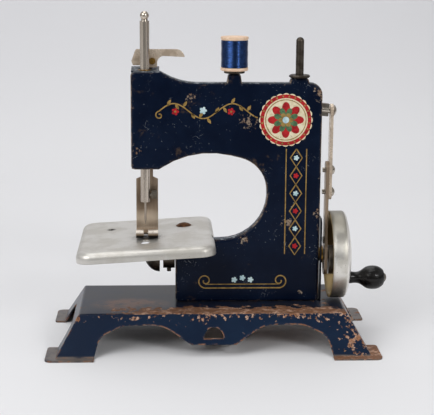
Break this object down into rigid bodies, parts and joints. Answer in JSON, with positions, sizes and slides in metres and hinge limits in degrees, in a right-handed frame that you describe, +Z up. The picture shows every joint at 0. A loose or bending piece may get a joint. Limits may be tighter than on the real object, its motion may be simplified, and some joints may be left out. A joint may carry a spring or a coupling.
{
  "type": "toy sewing machine",
  "caption": "Hand-cranked toy chain-stitch sewing machine: stamped steel body on an arched base, cloth plate, needle bar, presser foot, handwheel and thread spool.",
  "frame": {"origin": "on the ground under the middle of the whole part's box", "axes": "+X towards the handwheel, +Y away from the decorated face, +Z up"},
  "size_m": [0.2096, 0.1048, 0.2012],
  "materials": {
    "navy_enamel": "worn gloss enamel on steel sheet",
    "dark_enamel": "dark enamel on steel strip",
    "steel": "turned steel",
    "rusty_steel": "rusted steel",
    "blackened_steel": "darkened steel",
    "bush_brass": "turned brass",
    "pin_brass": "turned brass",
    "aluminium_sheet": "pressed sheet, scuffed",
    "cast_aluminium": "cast, dull",
    "nickel": "worn nickel plate",
    "black_wood": "black lacquered wood",
    "pale_wood": "turned birch",
    "blue_thread": "lustrous cotton thread"
  },
  "bodies": {
    "frame": {"base_tray": "navy_enamel", "body_panel": "navy_enamel", "base_rivets": "steel", "shaft_bracket": "dark_enamel", "plate_bracket": "dark_enamel", "cloth_plate": "aluminium_sheet", "plate_screw": "rusty_steel", "plate_nut": "steel", "needle_bar_bushes": "bush_brass", "shaft_bushes": "bush_brass", "beam_pivot_pin": "steel", "spool_pin": "steel", "thread_spindle": "blackened_steel", "spindle_disc": "blackened_steel"},
    "wheel": {"handwheel": "cast_aluminium", "main_shaft": "steel", "wheel_screw": "blackened_steel", "cam_disc": "steel", "shaft_collar": "blackened_steel", "collar_screw": "blackened_steel", "looper": "blackened_steel", "handle_stud": "steel"},
    "handle": {"crank_handle": "black_wood"},
    "beam": {"walking_beam": "steel", "beam_stub": "steel"},
    "needle": {"needle_bar": "nickel", "bar_collars": "steel", "needle": "nickel", "needle_screw": "nickel"},
    "rods": {"rod_upper": "nickel", "rod_lower": "nickel", "rod_screws": "blackened_steel", "follower_pin": "steel"},
    "presser": {"presser_foot": "nickel", "lifter_pin": "pin_brass"},
    "lifter": {"presser_lifter": "nickel"},
    "spool": {"spool": "pale_wood", "spool_thread": "blue_thread"}
  },
  "joints": [
    {"name": "wheel_turn", "type": "hinge", "parent": "frame", "child": "wheel", "pos_m": [0.06789, 0, 0.0518], "axis": [1, 0, 0], "continuous": true},
    {"name": "handle_spin", "type": "hinge", "parent": "wheel", "child": "handle", "pos_m": [0.08126, 0, 0.0366], "axis": [1, 0, 0], "continuous": true},
    {"name": "beam_rock", "type": "hinge", "parent": "frame", "child": "beam", "pos_m": [0.02919, 0, 0.1454], "axis": [0, -1, 0], "range_deg": [0, 10.45]},
    {"name": "needle_slide", "type": "slide", "parent": "frame", "child": "needle", "axis": [0, 0, -1], "range_m": [0, 0.01367]},
    {"name": "rods_slide", "type": "slide", "parent": "frame", "child": "rods", "axis": [0, 0, 1], "range_m": [0, 0.00703]},
    {"name": "presser_slide", "type": "slide", "parent": "frame", "child": "presser", "axis": [0, 0, 1], "range_m": [0, 0.0056]},
    {"name": "lifter_turn", "type": "hinge", "parent": "presser", "child": "lifter", "pos_m": [-0.04121, 0.0052, 0.1712], "axis": [0, -1, 0], "range_deg": [0, 40.2]},
    {"name": "spool_spin", "type": "hinge", "parent": "frame", "child": "spool", "pos_m": [0.00799, -0.0046, 0.1593], "axis": [0, 0, 1], "continuous": true}
  ],
  "couplings": [
    {"joint": "needle_slide", "follows": "beam_rock", "m_per_rad": 0.0749},
    {"joint": "rods_slide", "follows": "beam_rock", "m_per_rad": 0.03845},
    {"joint": "lifter_turn", "follows": "presser_slide", "rad_per_m": 124.67}
  ]
}
